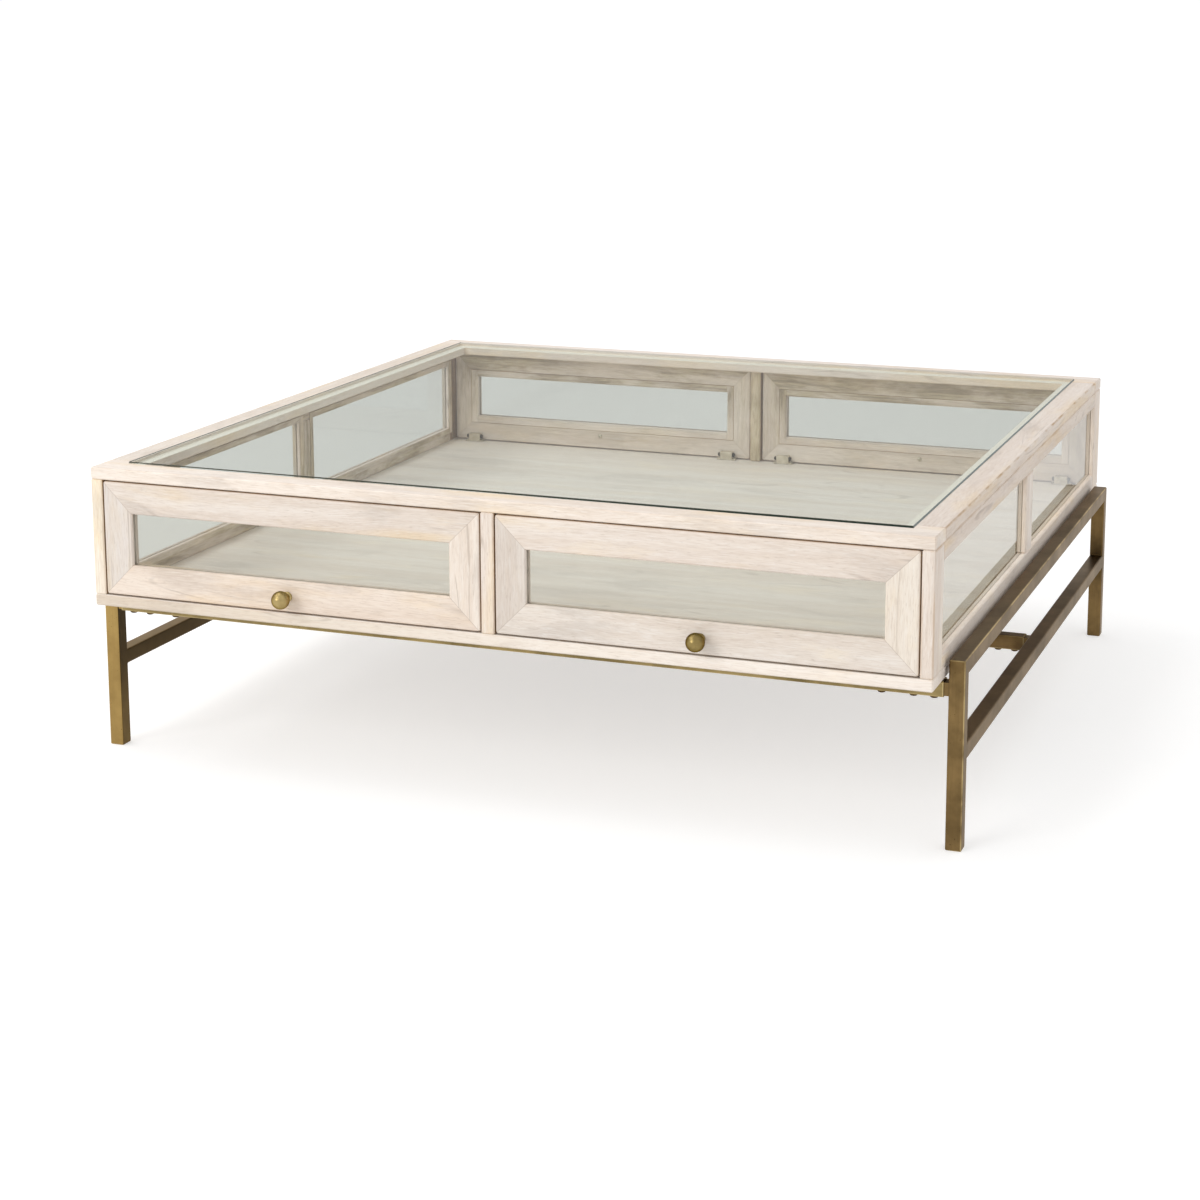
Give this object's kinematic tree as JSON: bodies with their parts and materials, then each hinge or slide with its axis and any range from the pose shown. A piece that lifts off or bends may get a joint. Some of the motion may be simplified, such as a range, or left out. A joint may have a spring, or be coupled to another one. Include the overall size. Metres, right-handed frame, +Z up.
{
  "type": "storage coffee table",
  "caption": "Square display coffee table: a pale wooden box with glazed sides, an inset glass top and flip-up glazed doors on a slim welded metal base.",
  "frame": {"origin": "on the ground, under the middle of the table", "axes": "+Z up, +X to the right of someone who faces the front doors, +Y from the front doors to the back doors"},
  "size_m": [1.17, 1.1814, 0.3995],
  "materials": {
    "pale_wood": "whitewashed, satin",
    "top_glass": "clear, polished edge",
    "pane_glass": "clear",
    "aged_brass": "dull, mottled patina",
    "nickel": "satin"
  },
  "bodies": {
    "table": {"floor_panel": "pale_wood", "front_top_rail": "pale_wood", "back_top_rail": "pale_wood", "left_top_rail": "pale_wood", "right_top_rail": "pale_wood", "top_glass": "top_glass", "front_left_post": "pale_wood", "front_right_post": "pale_wood", "back_left_post": "pale_wood", "back_right_post": "pale_wood", "front_center_post": "pale_wood", "back_center_post": "pale_wood", "left_side_sill": "pale_wood", "left_side_head": "pale_wood", "left_side_mullion": "pale_wood", "right_side_sill": "pale_wood", "right_side_head": "pale_wood", "right_side_mullion": "pale_wood", "front_left_side_pane": "pane_glass", "back_left_side_pane": "pane_glass", "front_right_side_pane": "pane_glass", "back_right_side_pane": "pane_glass", "front_left_hinge_pin": "aged_brass", "front_center_hinge_pin": "aged_brass", "front_right_hinge_pin": "aged_brass", "back_left_hinge_pin": "aged_brass", "back_center_hinge_pin": "aged_brass", "back_right_hinge_pin": "aged_brass", "front_left_outer_catch": "nickel", "front_left_inner_catch": "nickel", "front_right_outer_catch": "nickel", "front_right_inner_catch": "nickel", "back_left_outer_catch": "nickel", "back_left_inner_catch": "nickel", "back_right_outer_catch": "nickel", "back_right_inner_catch": "nickel", "left_side_frame": "aged_brass", "right_side_frame": "aged_brass", "front_crossbar": "aged_brass", "back_crossbar": "aged_brass", "center_stretcher": "aged_brass"},
    "front_left_door": {"front_left_door_frame": "pale_wood", "front_left_door_bead": "pale_wood", "front_left_door_pane": "pane_glass", "front_left_door_knob": "aged_brass"},
    "front_right_door": {"front_right_door_frame": "pale_wood", "front_right_door_bead": "pale_wood", "front_right_door_pane": "pane_glass", "front_right_door_knob": "aged_brass"},
    "back_left_door": {"back_left_door_frame": "pale_wood", "back_left_door_bead": "pale_wood", "back_left_door_pane": "pane_glass", "back_left_door_knob": "aged_brass"},
    "back_right_door": {"back_right_door_frame": "pale_wood", "back_right_door_bead": "pale_wood", "back_right_door_pane": "pane_glass", "back_right_door_knob": "aged_brass"}
  },
  "joints": [
    {"name": "front_left_door_hinge", "type": "hinge", "parent": "table", "child": "front_left_door", "pos_m": [-0.27637, -0.554, 0.3734], "axis": [-1, 0, 0], "range_deg": [0, 95]},
    {"name": "front_right_door_hinge", "type": "hinge", "parent": "table", "child": "front_right_door", "pos_m": [0.27637, -0.554, 0.3734], "axis": [-1, 0, 0], "range_deg": [0, 95]},
    {"name": "back_left_door_hinge", "type": "hinge", "parent": "table", "child": "back_left_door", "pos_m": [-0.27637, 0.554, 0.3734], "axis": [1, 0, 0], "range_deg": [0, 95]},
    {"name": "back_right_door_hinge", "type": "hinge", "parent": "table", "child": "back_right_door", "pos_m": [0.27637, 0.554, 0.3734], "axis": [1, 0, 0], "range_deg": [0, 95]}
  ]
}
